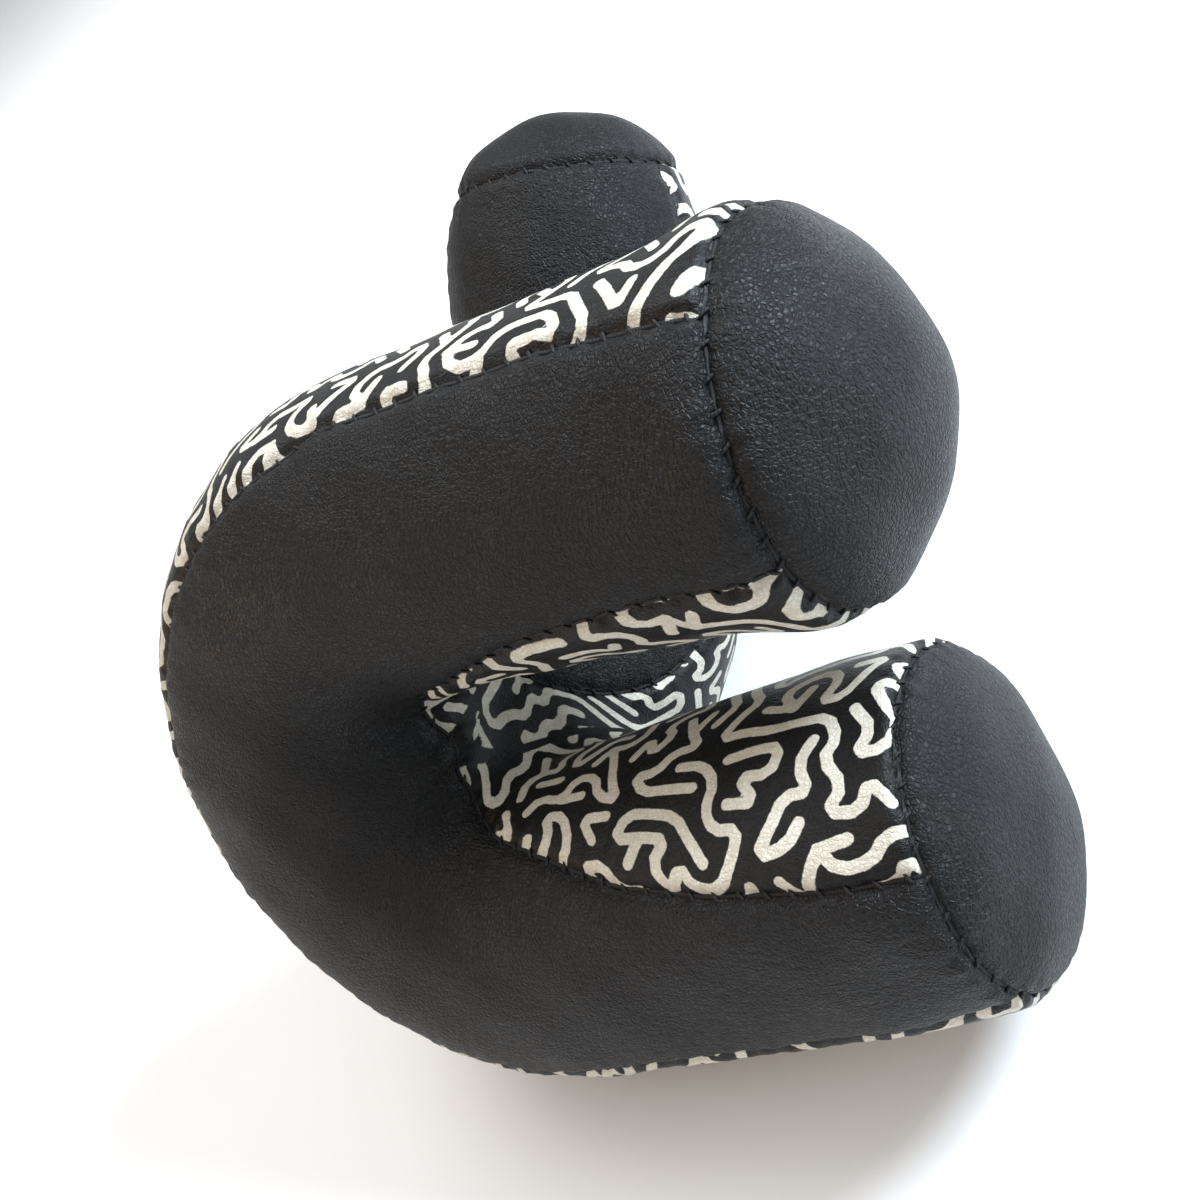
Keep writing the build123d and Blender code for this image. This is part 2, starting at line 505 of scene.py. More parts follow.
def cut(points, values, triangles, key):
    """Divide the triangles along the line where values[key] is nought."""
    field = values[key]
    field[np.abs(field) < cut_snap] = 0.0
    crossed = field[triangles]
    whole = (crossed.min(1) >= 0) | (crossed.max(1) <= 0)
    kept = [triangles[whole]]
    ends, made, new = {}, [], []

    def between(a, b):
        mark = (min(a, b), max(a, b))
        if mark not in ends:
            ends[mark] = len(points) + len(new)
            new.append((mark, field[mark[0]] / (field[mark[0]] - field[mark[1]])))
        return ends[mark]

    for corner in triangles[~whole]:
        corner = [int(i) for i in corner]
        sign = [int(np.sign(field[i])) for i in corner]
        on_line = 0 in sign
        k = sign.index(0) if on_line else [sign.count(one) for one in sign].index(1)
        a, b, c = (corner[(k + j) % 3] for j in range(3))
        if on_line:
            m = between(b, c)
            made += [(a, b, m), (a, m, c)]
        else:
            m, n = between(a, b), between(a, c)
            made += [(a, m, n), (m, b, c), (m, c, n)]
    if new:
        first = np.array([mark[0] for mark, _ in new])
        second = np.array([mark[1] for mark, _ in new])
        part = np.array([share for _, share in new])
        step = (points[second] - points[first]) * part[:, None]
        points = np.concatenate([points, points[first] + step])
        for name in values:
            old = values[name]
            values[name] = np.concatenate([old, old[first] + (old[second] - old[first]) * part])
        values[key][-len(new):] = 0.0
        kept.append(np.array(made))
    return points, values, np.concatenate(kept)


CUTS = ("cap_a", "cap_b", "cap_c", "palm", "outer")
LEATHER = ("palm_panel", "outer_panel", "side_panel_ab", "side_panel_ac", "side_panel_bc",
           "end_cap_a", "end_cap_b", "end_cap_c")
PALM, OUTER, SIDE_AB, SIDE_AC, SIDE_BC, CAP_A, CAP_B, CAP_C = range(8)


def cut_out(body):
    """The body's skin, cut along every seam: points in millimetres, triangles and their panel."""
    points = to_pattern(points_of(body.data))
    triangles = triangles_of(body.data)
    found = pattern_fields(points)
    values = {key: found[key].copy() for key in CUTS}
    outward = normals_of(points, triangles)
    for axis in range(3):
        values[f"outward_{axis}"] = outward[:, axis]
    for key in CUTS:
        points, values, triangles = cut(points, values, triangles, key)
    inside = {key: values[key][triangles].sum(1) > 0 for key in CUTS}
    panel = np.full(len(triangles), -1)
    panel[inside["palm"]] = PALM
    panel[inside["outer"]] = OUTER
    for key, name in (("cap_a", CAP_A), ("cap_b", CAP_B), ("cap_c", CAP_C)):
        panel[inside[key]] = name
    outward = np.stack([values[f"outward_{axis}"] for axis in range(3)], axis=1)
    return points, unit(outward), triangles, name_sides(len(points), triangles, panel)


def name_sides(count, triangles, panel):
    """The rest is three side panels, told apart by the two caps that each one reaches."""
    todo = np.where(panel < 0)[0]
    own = connected(count, triangles[todo])[triangles[todo, 0]]
    cap_points = {cap: set(triangles[panel == cap].ravel().tolist()) for cap in (CAP_A, CAP_B, CAP_C)}
    names = {(CAP_A, CAP_B): SIDE_AB, (CAP_A, CAP_C): SIDE_AC, (CAP_B, CAP_C): SIDE_BC}
    for mark in np.unique(own):
        mine = todo[own == mark]
        corners = set(triangles[mine].ravel().tolist())
        reach = tuple(cap for cap in cap_points if cap_points[cap] & corners)
        panel[mine] = names.get(reach, PALM)
    return panel


def seam_name(one, other):
    """The model's name for the seam between two panels."""
    one, other = min(one, other), max(one, other)
    if other >= CAP_A:
        return "cap_seam_" + "abc"[other - CAP_A]
    strip_name = "palm" if one == PALM else "outer"
    return f"seam_{strip_name}_" + {SIDE_AB: "ab", SIDE_AC: "ac", SIDE_BC: "bc"}.get(other, "none")


def seams(triangles, panel):
    """The edges between two panels, for each seam."""
    shared = {}
    pairs = np.sort(sides_of(triangles))
    owner = np.tile(panel, 3)
    order = np.lexsort((pairs[:, 1], pairs[:, 0]))
    pairs, owner = pairs[order], owner[order]
    same = (pairs[1:] == pairs[:-1]).all(1) & (owner[1:] != owner[:-1])
    for k in np.where(same)[0]:
        name = seam_name(owner[k], owner[k + 1])
        shared.setdefault(name, []).append((int(pairs[k, 0]), int(pairs[k, 1])))
    return shared


def chained(pairs):
    """One seam's edges as the longest line of points, and whether it closes on itself."""
    neighbours = {}
    for a, b in pairs:
        neighbours.setdefault(a, []).append(b)
        neighbours.setdefault(b, []).append(a)
    best, used = [], set()
    starts = sorted(v for v in neighbours if len(neighbours[v]) == 1) + sorted(neighbours)
    for start in starts:
        if start in used:
            continue
        line = [start]
        used.add(start)
        while True:
            following = [v for v in neighbours[line[-1]] if v not in used]
            if not following:
                break
            line.append(following[0])
            used.add(following[0])
        if len(line) > len(best):
            best = line
    return best, best[0] in neighbours[best[-1]]


def evened(line, closed):
    """A seam's points again, evenly spaced and lightly smoothed."""
    for _ in range(6):
        if closed:
            line = (np.roll(line, 1, 0) + line * 2 + np.roll(line, -1, 0)) / 4
        else:
            line[1:-1] = (line[:-2] + line[1:-1] * 2 + line[2:]) / 4
    if closed:
        line = np.concatenate([line, line[:1]])
    along = np.concatenate([[0], np.cumsum(np.linalg.norm(np.diff(line, axis=0), axis=1))])
    count = max(2, int(round(along[-1] / seam_step)))
    at = np.linspace(0, along[-1], count + 1)
    return np.stack([np.interp(at, along, line[:, k]) for k in range(3)], axis=1)


# ---------- the printed labyrinth

# The six ways on from a spot, how often each sharpness of turn is taken, and a line's length
TURN_STEPS = ((1, 0), (0, 1), (-1, 1), (-1, 0), (0, -1), (1, -1))
TURN_ODDS = (6, 8, 3, 0)
STEPS_FIRST = (7, 18)
STEPS_AFTER = (0, 5)


def rounded(line):
    """The line with each bend cut off a quarter of the way along its sides."""
    made = [line[0]]
    for before, spot, after in zip(line, line[1:], line[2:]):
        for other in (before, after):
            made.append(tuple(spot[k] + (other[k] - spot[k]) * bend_cut for k in range(2)))
    return made + [line[-1]]


def labyrinth(length, half_width):
    """Wandering lines that never touch, on a lattice of triangles: line pieces (u, v, u, v)."""
    rows = int(half_width / (line_pitch * row_height)) + 1
    columns = int(length / line_pitch) + 2
    place = {}
    for j in range(-rows, rows + 1):
        for i in range(-2 - j // 2, columns - j // 2):
            off = [draw.uniform(-wobble, wobble) for _ in range(2)]
            place[(i, j)] = ((i + j / 2) * line_pitch + off[0], j * line_pitch * row_height + off[1])
    free = set(place)
    order = sorted(place)
    draw.shuffle(order)
    pieces = []

    def step_on(path, heading, longest):
        while len(path) < longest:
            ways = []
            for k, (di, dj) in enumerate(TURN_STEPS):
                there = (path[-1][0] + di, path[-1][1] + dj)
                if there in free:
                    turn = 0 if heading is None else min((k - heading) % 6, (heading - k) % 6)
                    ways += [(k, there)] * TURN_ODDS[turn]
            if not ways:
                return
            heading, there = draw.choice(ways)
            path.append(there)
            free.discard(there)

    for start in order:
        if start not in free:
            continue
        free.discard(start)
        path = [start]
        step_on(path, None, draw.randint(*STEPS_FIRST))
        path.reverse()
        step_on(path, None, len(path) + draw.randint(*STEPS_AFTER))
        if len(path) == 1:
            near = [(start[0] + di, start[1] + dj) for di, dj in TURN_STEPS]
            near = [spot for spot in near if spot in place]
            path.append(draw.choice(near))
        elif len(path) > 5 and draw.random() < 0.5:
            gap = (path[0][0] - path[-1][0], path[0][1] - path[-1][1])
            if gap in TURN_STEPS:
                path.append(path[0])
        line = rounded([place[spot] for spot in path])
        for one, other in zip(line, line[1:]):
            pieces.append(one + other)
    return np.array(pieces)


def distance_to_lines(u, v, lines):
    """Millimetres from each point of a strip to the nearest printed line."""
    result = np.full(len(u), 9.0)
    order = np.argsort(u)
    middle = (lines[:, 0] + lines[:, 2]) / 2
    for part in np.array_split(order, max(1, len(order) // 1500)):
        near = lines[(middle > u[part].min() - 4) & (middle < u[part].max() + 4)]
        if not len(near):
            continue
        start, run = near[:, :2], near[:, 2:] - near[:, :2]
        q = np.stack([u[part], v[part]], axis=1)[:, None] - start[None]
        share = np.clip((q * run).sum(2) / np.maximum((run * run).sum(1), 1e-9), 0, 1)
        result[part] = np.linalg.norm(q - share[:, :, None] * run[None], axis=2).min(1)
    return result


def printed_distance(p, which, lines_front, lines_rear):
    """Millimetres outside the printed lines, less than nought on them."""
    found = pattern_fields(p)
    s, turn = found["front"][1], found["front"][2]
    u = s + (-arm_radius if which == "palm" else arm_radius) * turn
    on_front = distance_to_lines(u, found[which + "_off"], lines_front)
    u = strip_length(found["rear"][1], 0 if which == "palm" else 180)
    on_rear = distance_to_lines(u, found[which + "_c_off"], lines_rear)
    border = bare_band - np.abs(found["lead"]) / lead_per_mm
    border = np.where(found["rear"][1] > rear_start, border, NOWHERE)
    far = np.where(found["share"] < 0.5, on_front, on_rear)
    return np.maximum(far, border) - line_half_width


# ---------- materials

def add_group(name, outputs, **inputs):
    """An empty shader group with numbers going in and coming out."""
    group = bpy.data.node_groups.new(name, "ShaderNodeTree")
    for label, value in inputs.items():
        socket = group.interface.new_socket(label.replace("_", " "), in_out="INPUT",
                                            socket_type="NodeSocketFloat")
        socket.default_value = value
    for label in outputs:
        group.interface.new_socket(label, in_out="OUTPUT", socket_type="NodeSocketFloat")
    return group, group.nodes.new("NodeGroupInput"), group.nodes.new("NodeGroupOutput")


def math_node(tree, operation, first, second, clamp=False):
    node = tree.nodes.new("ShaderNodeMath")
    node.operation = operation
    node.use_clamp = clamp
    for socket, value in zip(node.inputs, (first, second)):
        if isinstance(value, (int, float)):
            socket.default_value = value
        elif value is not None:
            tree.links.new(value, socket)
    return node.outputs[0]


def times(tree, first, second, clamp=False):
    return math_node(tree, "MULTIPLY", first, second, clamp)


def plus(tree, first, second):
    return math_node(tree, "ADD", first, second)


def less(tree, first, second, clamp=False):
    return math_node(tree, "SUBTRACT", first, second, clamp)


def feed(tree, node, **given):
    for label, value in given.items():
        tree.links.new(value, node.inputs[label.replace("_", " ")])


def noise_node(tree, vector, scale, detail, roughness=0.5, distortion=0.0):
    node = tree.nodes.new("ShaderNodeTexNoise")
    tree.links.new(vector, node.inputs["Vector"])
    for label, value in (("Scale", scale), ("Detail", detail), ("Roughness", roughness),
                         ("Distortion", distortion)):
        if isinstance(value, (int, float)):
            node.inputs[label].default_value = value
        else:
            tree.links.new(value, node.inputs[label])
    return node.outputs["Fac"]


def ranged(tree, value, low_in, high_in, low_out, high_out):
    node = tree.nodes.new("ShaderNodeMapRange")
    node.interpolation_type = "SMOOTHSTEP"
    tree.links.new(value, node.inputs["Value"])
    for label, number in (("From Min", low_in), ("From Max", high_in), ("To Min", low_out),
                          ("To Max", high_out)):
        node.inputs[label].default_value = number
    return node.outputs["Result"]


def object_place(tree):
    return tree.nodes.new("ShaderNodeTexCoord").outputs["Object"]


def drawn_out(tree, vector, scale, rotation=(0, 0, 0)):
    """The place in a texture, squeezed along some directions so that the marks run long."""
    node = tree.nodes.new("ShaderNodeMapping")
    node.inputs["Rotation"].default_value = rotation
    node.inputs["Scale"].default_value = scale
    tree.links.new(vector, node.inputs["Vector"])
    return node.outputs[0]


def measured(tree, name):
    node = tree.nodes.new("ShaderNodeAttribute")
    node.attribute_name = name
    return node.outputs["Fac"]


def leather_grain_group():
    """Fine pebbles with creases between them, stretched into short wrinkles in places."""
    tree, given, out = add_group("leather_grain", ("Height", "Pores", "Patches"),
                                 Pebble_Scale=1900.0, Crease_Depth=1.0)
    place = object_place(tree)
    wander = tree.nodes.new("ShaderNodeTexNoise")
    wander.inputs["Scale"].default_value = 260.0
    wander.inputs["Detail"].default_value = 2.0
    tree.links.new(place, wander.inputs["Vector"])
    shifted = tree.nodes.new("ShaderNodeVectorMath")
    shifted.operation = "MULTIPLY_ADD"
    tree.links.new(wander.outputs["Color"], shifted.inputs[0])
    shifted.inputs[1].default_value = (0.0014, 0.0014, 0.0014)
    tree.links.new(place, shifted.inputs[2])
    cells = tree.nodes.new("ShaderNodeTexVoronoi")
    cells.feature = "DISTANCE_TO_EDGE"
    tree.links.new(shifted.outputs[0], cells.inputs["Vector"])
    tree.links.new(given.outputs["Pebble Scale"], cells.inputs["Scale"])
    crease = ranged(tree, cells.outputs["Distance"], 0.0, 0.22, 0.0, 1.0)
    long_marks = drawn_out(tree, shifted.outputs[0], (1.0, 3.4, 2.6), (0.5, 0.3, 0.9))
    wrinkles = noise_node(tree, long_marks, 520.0, 4.0, 0.55, 0.6)
    wrinkles = ranged(tree, wrinkles, 0.3, 0.62, 0.0, 1.0)
    fine = noise_node(tree, place, 5200.0, 3.0, 0.6)
    patches = noise_node(tree, place, 42.0, 3.0, 0.5)
    deep = times(tree, crease, given.outputs["Crease Depth"])
    height = plus(tree, times(tree, deep, 0.55), times(tree, wrinkles, 0.5))
    height = plus(tree, height, times(tree, fine, 0.22))
    feed(tree, out, Height=height, Pores=crease, Patches=patches)
    return tree


def seam_wear_group():
    """Rubbed leather beside the seams and dust down in the groove, from the distance to the seam."""
    tree, given, out = add_group("seam_wear", ("Rubbed", "Dust"), Reach=4.0, Dust_Amount=1.0)
    place = object_place(tree)
    seam = measured(tree, "seam_distance")
    share = math_node(tree, "DIVIDE", seam, given.outputs["Reach"], True)
    close = less(tree, 1.0, share, True)
    scuffs = ranged(tree, noise_node(tree, place, 620.0, 4.0, 0.65), 0.42, 0.68, 0.0, 1.0)
    rubbed = times(tree, close, scuffs)
    specks = ranged(tree, noise_node(tree, place, 2300.0, 2.0, 0.7), 0.6, 0.78, 0.0, 1.0)
    groove = ranged(tree, seam, 0.2, 1.6, 1.0, 0.0)
    dust = times(tree, times(tree, groove, specks), given.outputs["Dust Amount"], True)
    feed(tree, out, Rubbed=rubbed, Dust=dust)
    return tree


def ink_edge_group():
    """Printed ink with slightly rough edges, from the distance to the lines."""
    tree, given, out = add_group("ink_edge", ("Ink", "Wear"), Roughness_of_Edge=0.2)
    place = object_place(tree)
    rough = less(tree, noise_node(tree, place, 1500.0, 3.0, 0.6), 0.5)
    rough = times(tree, rough, given.outputs["Roughness of Edge"])
    edge = plus(tree, measured(tree, "print_distance"), rough)
    ink = ranged(tree, edge, -0.07, 0.07, 1.0, 0.0)
    wear = ranged(tree, noise_node(tree, place, 900.0, 4.0, 0.7), 0.3, 0.75, 0.0, 1.0)
    feed(tree, out, Ink=ink, Wear=wear)
    return tree


GRAIN = leather_grain_group()
SEAM_WEAR = seam_wear_group()
INK_EDGE = ink_edge_group()


def place_group(tree, group, **given):
    node = tree.nodes.new("ShaderNodeGroup")
    node.node_tree = group
    for label, value in given.items():
        node.inputs[label.replace("_", " ")].default_value = value
    return node


def mixed(tree, factor, first, second):
    node = tree.nodes.new("ShaderNodeMix")
    node.data_type = "RGBA"
    for socket, value in zip((node.inputs[0], node.inputs[6], node.inputs[7]), (factor, first, second)):
        if isinstance(value, (tuple, float)):
            socket.default_value = value
        else:
            tree.links.new(value, socket)
    return node.outputs[2]


def new_material(name, specular):
    material = bpy.data.materials.new(name)
    material.use_nodes = True
    shader = material.node_tree.nodes["Principled BSDF"]
    shader.inputs["Specular IOR Level"].default_value = specular
    return material, material.node_tree, shader


def bumped(tree, shader, height, distance, strength=1.0):
    bump = tree.nodes.new("ShaderNodeBump")
    bump.inputs["Distance"].default_value = distance
    bump.inputs["Strength"].default_value = strength
    tree.links.new(height, bump.inputs["Height"])
    tree.links.new(bump.outputs[0], shader.inputs["Normal"])


def plain_leather():
    material, tree, shader = new_material("plain_leather", 0.26)
    grain = place_group(tree, GRAIN, Pebble_Scale=1850.0, Crease_Depth=1.0)
    wear = place_group(tree, SEAM_WEAR, Reach=3.5, Dust_Amount=0.5)
    colour = mixed(tree, grain.outputs["Patches"], (0.0036, 0.0036, 0.0040, 1),
                   (0.0062, 0.0060, 0.0062, 1))
    colour = mixed(tree, times(tree, wear.outputs["Rubbed"], 0.25), colour, (0.035, 0.034, 0.036, 1))
    colour = mixed(tree, wear.outputs["Dust"], colour, (0.10, 0.095, 0.085, 1))
    rough = ranged(tree, grain.outputs["Patches"], 0.25, 0.75, 0.36, 0.47)
    pores = times(tree, less(tree, 1.0, grain.outputs["Pores"]), 0.14)
    feed(tree, shader, Base_Color=colour, Roughness=plus(tree, rough, pores))
    bumped(tree, shader, grain.outputs["Height"], 0.00016)
    return material


def printed_leather():
    material, tree, shader = new_material("printed_leather", 0.24)
    grain = place_group(tree, GRAIN, Pebble_Scale=2100.0, Crease_Depth=0.6)
    wear = place_group(tree, SEAM_WEAR, Reach=2.5, Dust_Amount=0.4)
    ink = place_group(tree, INK_EDGE, Roughness_of_Edge=0.25)
    ground = mixed(tree, grain.outputs["Patches"], (0.0040, 0.0040, 0.0044, 1),
                   (0.0066, 0.0064, 0.0064, 1))
    ground = mixed(tree, wear.outputs["Dust"], ground, (0.09, 0.085, 0.075, 1))
    cream = mixed(tree, ink.outputs["Wear"], (0.60, 0.56, 0.46, 1), (0.72, 0.69, 0.60, 1))
    pores = times(tree, less(tree, 1.0, grain.outputs["Pores"]), 0.35)
    cream = mixed(tree, pores, cream, (0.36, 0.32, 0.25, 1))
    colour = mixed(tree, ink.outputs["Ink"], ground, cream)
    rough = ranged(tree, grain.outputs["Patches"], 0.25, 0.75, 0.38, 0.48)
    rough = plus(tree, rough, times(tree, ink.outputs["Ink"], 0.12))
    feed(tree, shader, Base_Color=colour, Roughness=rough)
    height = plus(tree, grain.outputs["Height"], times(tree, ink.outputs["Ink"], 0.35))
    bumped(tree, shader, height, 0.00009)
    return material


def sewing_thread():
    material, tree, shader = new_material("sewing_thread", 0.35)
    place = object_place(tree)
    wave = tree.nodes.new("ShaderNodeTexWave")
    wave.inputs["Scale"].default_value = 900.0
    wave.inputs["Distortion"].default_value = 3.0
    wave.inputs["Detail"].default_value = 2.0
    tree.links.new(place, wave.inputs["Vector"])
    fuzz = noise_node(tree, place, 6000.0, 3.0, 0.7)
    colour = mixed(tree, fuzz, (0.003, 0.003, 0.0035, 1), (0.016, 0.015, 0.016, 1))
    feed(tree, shader, Base_Color=colour, Roughness=ranged(tree, fuzz, 0.3, 0.7, 0.5, 0.75))
    height = plus(tree, wave.outputs["Fac"], times(tree, fuzz, 0.6))
    bumped(tree, shader, height, 0.00006)
    return material


def filling_fibre():
    material, tree, shader = new_material("filling", 0.2)
    place = object_place(tree)
    fibres = noise_node(tree, drawn_out(tree, place, (1.0, 4.0, 2.0)), 700.0, 6.0, 0.7, 1.5)
    colour = mixed(tree, fibres, (0.50, 0.49, 0.46, 1), (0.86, 0.85, 0.81, 1))
    feed(tree, shader, Base_Color=colour, Roughness=ranged(tree, fibres, 0.3, 0.7, 0.75, 0.95))
    bumped(tree, shader, fibres, 0.0006)
    return material


PLAIN = plain_leather()
PRINTED = printed_leather()
THREAD = sewing_thread()
FIBRE = filling_fibre()


# ---------- making the pieces

def seam_lines(points, triangles, panel):
    """Every seam as the points along it, in order, and whether it closes on itself."""
    return {name: chained(pairs) for name, pairs in sorted(seams(triangles, panel).items())}


def nearest_seam(points, lines, names):
    """Each point's distance to the nearest of some seams, and that spot's place along its seam."""
    spots = np.concatenate([lines[name][0] for name in names])
    phase = np.concatenate([seam_step * np.arange(len(lines[name][0])) for name in names])
    tree = search_tree(spots)
    hits = [tree.find(spot)[1:] for spot in points]
    return np.array([hit[1] for hit in hits]), phase[[hit[0] for hit in hits]]


def fuller_shape(points, outward):
    """Where the filling is packed hard: the inside of the bend and the crowns of the caps; the
    arms' shoulders are drawn in at the cap seams."""
    found = pattern_fields(points)
    turn, angle, share = found["front"][2], found["front"][3], found["share"]
    off_turn, off_angle = (turn - bight_turn) / bight_turn_reach, angle / bight_angle_reach
    height = bight_fullness * np.exp(-off_turn ** 2 - off_angle ** 2) * (1 - share)
    crowns = (("cap_a", found["front"], arm_radius, Vector((1, 0, 0))),
              ("cap_b", found["front"], arm_radius, along_b),
              ("cap_c", found["rear"], rear_arm_radius, along_c))
    shift = np.zeros_like(points)
    for key, run, radius, ahead in crowns:
        beyond = found[key]
        across = np.clip(run[0] / radius, 0, 1)
        crown = cap_fullness[key] * (1 - across ** 2) ** 0.8 * smooth_step((beyond + 1.5) / 3.0)
        shift += crown[:, None] * np.array(ahead)
        place = beyond - shoulder_place[key]
        drawn_in = shoulder_drop[key] * np.exp(-(place / shoulder_reach) ** 2) * across ** 3
        height = height - drawn_in * (beyond > NOWHERE + 1)
    return points + shift + outward * height[:, None]


def sewn_shape(points, outward, lines):
    """The stuffed shape with its corners, grooves and puckers, and each point's distance to a seam."""
    long_seams = [name for name in sorted(lines) if not name.startswith("cap")]
    cap_seams = [name for name in sorted(lines) if name.startswith("cap")]
    long_distance, long_phase = nearest_seam(points, lines, long_seams)
    cap_distance, cap_phase = nearest_seam(points, lines, cap_seams)
    distance = np.minimum(long_distance, cap_distance)
    phase = np.where(long_distance < cap_distance, long_phase, cap_phase)
    corner = corner_rise * np.exp(-(long_distance / corner_reach) ** 2)
    corner = corner * smooth_step(cap_distance / corner_end)
    groove = groove_depth * np.exp(-(distance / groove_width) ** 2)
    pucker = np.cos(phase * 2 * math.pi / stitch_pitch) * np.exp(-distance / pucker_reach)
    uneven = np.sin(points[:, 0] * 0.41 + points[:, 1] * 0.33) * np.cos(points[:, 2] * 0.37)
    height = corner - skin_drop - groove - pucker_depth * pucker * (0.8 + 0.5 * uneven)
    height = height + uneven_height * uneven
    return points + outward * height[:, None], distance


def finer_triangles(points, normals, triangles):
    """Each triangle in four, with the new points pushed out onto the rounded surface."""
    edges, back_to = np.unique(np.sort(sides_of(triangles)), axis=0, return_inverse=True)
    back_to = back_to.reshape(3, -1) + len(points)
    a, b = points[edges[:, 0]], points[edges[:, 1]]
    na, nb = normals[edges[:, 0]], normals[edges[:, 1]]
    middle = (a + b) / 2
    on_a = middle - ((middle - a) * na).sum(1, keepdims=True) * na
    on_b = middle - ((middle - b) * nb).sum(1, keepdims=True) * nb
    middle = middle * 0.3 + (on_a + on_b) * 0.35
    ab, bc, ca = back_to
    one, two, three = triangles.T
    made = np.concatenate([np.stack([one, ab, ca], 1), np.stack([ab, two, bc], 1),
                           np.stack([ca, bc, three], 1), np.stack([ab, bc, ca], 1)])
    return np.concatenate([points, middle]), made, edges


def give_values(piece, name, values):
    attribute = piece.data.attributes.new(name, "FLOAT", "POINT")
    attribute.data.foreach_set("value", values.astype(np.float32))


def finish_piece(piece, node_names, material, angle=55.0):
    piece.data.materials.clear()
    piece.data.materials.append(material)
    activate(piece)
    bpy.ops.object.shade_smooth_by_angle(angle=math.radians(angle))
    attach(piece, "root")
    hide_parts(*node_names)


def above_floor(points):
    """To the model's frame, with nothing below the floor."""
    points = to_model(points)
    points[:, 2] = np.maximum(points[:, 2], 0.0)
    return points


def walled(points, outward, triangles):
    """The piece with the thickness of the leather: its face, its back and the cut edge all round."""
    count = len(points)
    sides = sides_of(triangles)
    alone = ~np.isin(sides[:, 0] * count + sides[:, 1], sides[:, 1] * count + sides[:, 0])
    one, two = sides[alone].T
    rim = np.concatenate([np.stack([two, one, one + count], 1),
                          np.stack([two, one + count, two + count], 1)])
    faces = np.concatenate([triangles, triangles[:, ::-1] + count, rim])
    return np.concatenate([points, points - outward * leather_thickness]), faces


def leather_piece(which, points, before, normals, distance, triangles, panel, mazes):
    """One panel or cap: its own part of the skin, with the thickness of the leather."""
    own = triangles[panel == which]
    used, own = np.unique(own, return_inverse=True)
    own = own.reshape(-1, 3)
    shape, flat, seam, outward = points[used], before[used], distance[used], normals[used]
    printed = which in (PALM, OUTER)
    if printed:
        shape, made, edges = finer_triangles(shape, outward, own)
        outward = np.concatenate([outward, unit(outward[edges[:, 0]] + outward[edges[:, 1]])])
        flat = np.concatenate([flat, (flat[edges[:, 0]] + flat[edges[:, 1]]) / 2])
        seam = np.concatenate([seam, (seam[edges[:, 0]] + seam[edges[:, 1]]) / 2])
        own = made
    name = LEATHER[which].replace("_panel", "_leather").replace("end_cap", "cap_leather")
    shape, own = walled(shape, outward, own)
    piece = new_piece(name, above_floor(shape), own)
    give_values(piece, "seam_distance", np.tile(seam, 2))
    if printed:
        key = "palm" if which == PALM else "outer"
        give_values(piece, "print_distance", np.tile(printed_distance(flat, key, *mazes[key]), 2))
    finish_piece(piece, [LEATHER[which]],
                 PRINTED if printed else PLAIN)
    return piece


def stitch_shape():
    """One tight stitch: a short fat thread, drawn in at both ends."""
    deselect_all()
    bpy.ops.mesh.primitive_uv_sphere_add(segments=6, ring_count=5, radius=1.0)
    piece = bpy.context.active_object
    points = points_of(piece.data)
    faces = [list(face.vertices) for face in piece.data.polygons]
    bpy.data.objects.remove(piece)
    return points, faces


STITCH_POINTS, STITCH_FACES = stitch_shape()


def seam_piece(name, line, closed, tree, normals):
    """A seam's thread: a cord down in the groove and a slanting stitch at every pitch."""
    points, faces = [], []
    ahead = np.roll(line, -1, 0) - np.roll(line, 1, 0)
    if not closed:
        ahead[0], ahead[-1] = line[1] - line[0], line[-1] - line[-2]
    else:
        line, ahead = line[:-1], ahead[:-1]
        ahead[0], ahead[-1] = line[1] - line[-1], line[0] - line[-2]
    ahead = unit(ahead)
    up = normals[[tree.find(spot)[1] for spot in line]]
    up = unit(up - (up * ahead).sum(1, keepdims=True) * ahead)
    if closed:
        for _ in range(4):
            up = np.roll(up, 1, 0) + up + np.roll(up, -1, 0)
    up = unit(up)
    side = np.cross(ahead, up)
    floor = line - up * cord_depth
    ring = cord_sides
    for k in range(len(line)):
        for j in range(ring):
            turn = 2 * math.pi * j / ring
            points.append(floor[k] + (side[k] * math.cos(turn) + up[k] * math.sin(turn)) * cord_radius)
    spans = len(line) if closed else len(line) - 1
    for k in range(spans):
        after = (k + 1) % len(line)
        for j in range(ring):
            i = (j + 1) % ring
            faces.append([k * ring + j, k * ring + i, after * ring + i, after * ring + j])
    if not closed:
        faces.append(list(range(ring))[::-1])
        faces.append([(len(line) - 1) * ring + j for j in range(ring)])
    count = len(points)
    pitch_steps = int(round(stitch_pitch / seam_step))
    for k in range(pitch_steps // 2, len(line) - 2, pitch_steps):
        slant = stitch_slant + draw.uniform(-stitch_slant_spread, stitch_slant_spread)
        along = side[k] * math.cos(slant) + ahead[k] * math.sin(slant)
        broad = np.cross(along, up[k])
        lift = stitch_lift + draw.uniform(-stitch_height_spread, stitch_height_spread)
        centre = floor[k] + up[k] * lift
        for x, y, z in STITCH_POINTS:
            points.append(centre + along * z * stitch_half_length + broad * x * stitch_half_width
                          + up[k] * (y * stitch_half_width - stitch_bow * z * z))
        faces += [[i + count for i in face] for face in STITCH_FACES]
        count = len(points)
    piece = new_piece(name.replace("seam", "stitching"), above_floor(np.array(points)), faces)
    edit_whole(piece, bpy.ops.mesh.normals_make_consistent, inside=False)
    finish_piece(piece, [name], THREAD, 80.0)
    return piece


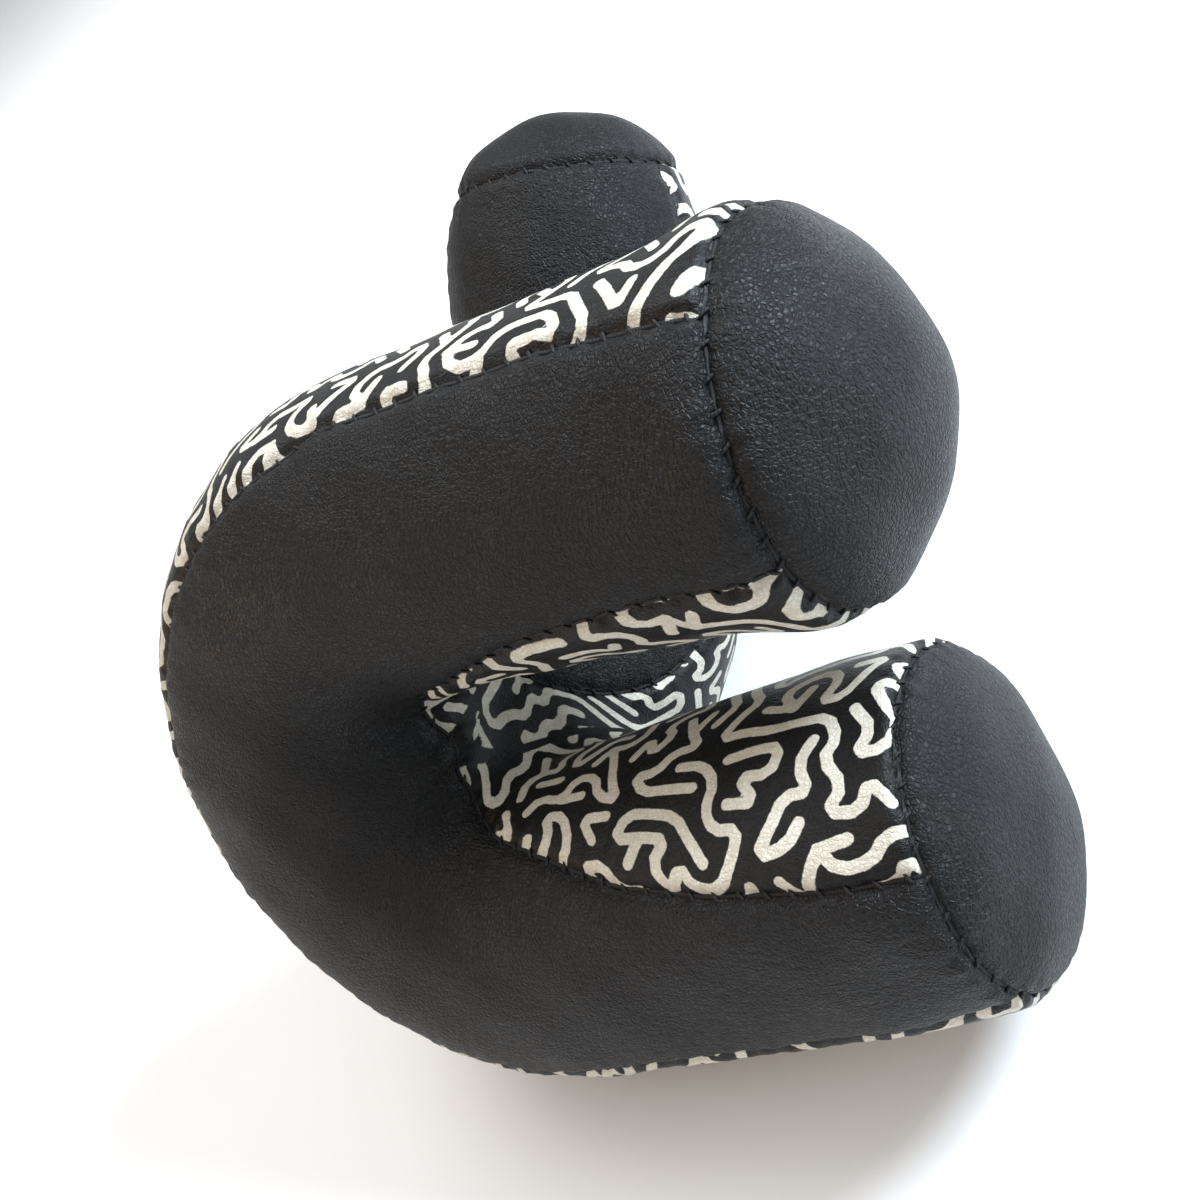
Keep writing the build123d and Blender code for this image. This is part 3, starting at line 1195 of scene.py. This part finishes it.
def filling_piece(body):
    """The stuffing, a little inside the leather."""
    points, triangles = points_of(body.data), triangles_of(body.data)
    edges = edges_of(triangles)
    shape = to_pattern(points)
    shape = fuller_shape(shape, normals_of(shape, triangles))
    shape = relax(shape, edges, 0.5, 6)
    shape = shape - normals_of(shape, triangles) * filling_inset
    shape = relax(shape, edges, 0.5, 10)
    piece = new_piece("stuffing", to_model(shape), triangles)
    thin = piece.modifiers.new("thinned", "DECIMATE")
    thin.ratio = filling_thinned_to
    apply_modifiers(piece)
    finish_piece(piece, ["filling_core", "filling_arm_a", "filling_arm_b", "filling_arm_c"],
                 FIBRE)
    return piece


deselect_all()
body = stuffed_body()
flat_points, outward, skin, panel = cut_out(body)
lines = seam_lines(flat_points, skin, panel)
print_lengths = (front_print_length, rear_print_length)
mazes = {key: [labyrinth(length, print_half_width) for length in print_lengths]
         for key in ("palm", "outer")}
full_points = fuller_shape(flat_points, outward)
full_lines = {}
for name in lines:
    order, closed = lines[name]
    full_lines[name] = (evened(full_points[order], closed), closed)
sewn, seam_distance = sewn_shape(full_points, outward, full_lines)
for which in range(len(LEATHER)):
    leather_piece(which, sewn, flat_points, outward, seam_distance, skin, panel, mazes)
finder = search_tree(full_points)
for name in sorted(lines):
    order, closed = lines[name]
    seam_piece(name, evened(sewn[order], closed), closed, finder, outward)
filling_piece(body)
bpy.data.objects.remove(body)


# ---------- floor, light and camera

def look_from(place, right, up, backward):
    """A turn matrix from three directions, at a place, all given in the pattern's frame."""
    turn = Matrix([roll @ Vector(right), roll @ Vector(up), roll @ Vector(backward)]).transposed()
    spot = Vector(to_model(np.array([place]))[0])
    return Matrix.Translation(spot) @ turn.to_4x4()


eye = put_in_scene(bpy.data.objects.new("camera", bpy.data.cameras.new("camera")))
eye.data.sensor_width = 36.0
eye.data.lens = 39.0
eye.data.clip_start = 0.01
eye.matrix_world = look_from((105.71, -116.21, 49.77), (0.8043, 0.4605, -0.3756),
                             (0.1820, 0.4109, 0.8933), (0.5657, -0.7868, 0.2467))
bpy.context.scene.camera = eye

bpy.ops.mesh.primitive_plane_add(size=14.0, location=(0, 0, 0))
floor_piece = bpy.context.active_object
floor_piece.name = "floor"
floor_material, floor_tree, floor_shader = new_material("pale_floor", 0.2)
floor_tint = noise_node(floor_tree, object_place(floor_tree), 30.0, 3.0)
floor_tint = mixed(floor_tree, floor_tint, (0.82, 0.82, 0.82, 1), (0.86, 0.86, 0.86, 1))
feed(floor_tree, floor_shader, Base_Color=floor_tint)
floor_shader.inputs["Roughness"].default_value = 0.9
floor_piece.data.materials.append(floor_material)


def soft_light(name, place, size, power, colour, aim=(0, 0, 0.045)):
    light = bpy.data.lights.new(name, "AREA")
    light.shape = "DISK"
    light.size = size
    light.energy = power
    light.color = colour
    lamp = put_in_scene(bpy.data.objects.new(name, light))
    lamp.location = place
    lamp.rotation_euler = (Vector(aim) - Vector(place)).to_track_quat("-Z", "Y").to_euler()


soft_light("window", (0.50, 0.26, 0.44), 0.24, 10.0, (0.76, 0.88, 1.0))
soft_light("warm_bounce", (-0.80, -0.62, 0.42), 0.50, 3.2, (1.0, 0.64, 0.36))
soft_light("ceiling", (0.0, 0.0, 2.2), 3.2, 28.0, (1.0, 0.99, 0.98))
soft_light("floor_fill", (-0.42, 0.36, 0.75), 0.7, 4.5, (1.0, 1.0, 1.0), aim=(-0.42, 0.36, 0.0))

world = bpy.data.worlds.new("room")
world.use_nodes = True
world.node_tree.nodes["Background"].inputs["Color"].default_value = (0.92, 0.96, 1.0, 1)
world.node_tree.nodes["Background"].inputs["Strength"].default_value = 0.34
bpy.context.scene.world = world
bpy.context.scene.view_settings.view_transform = "Standard"
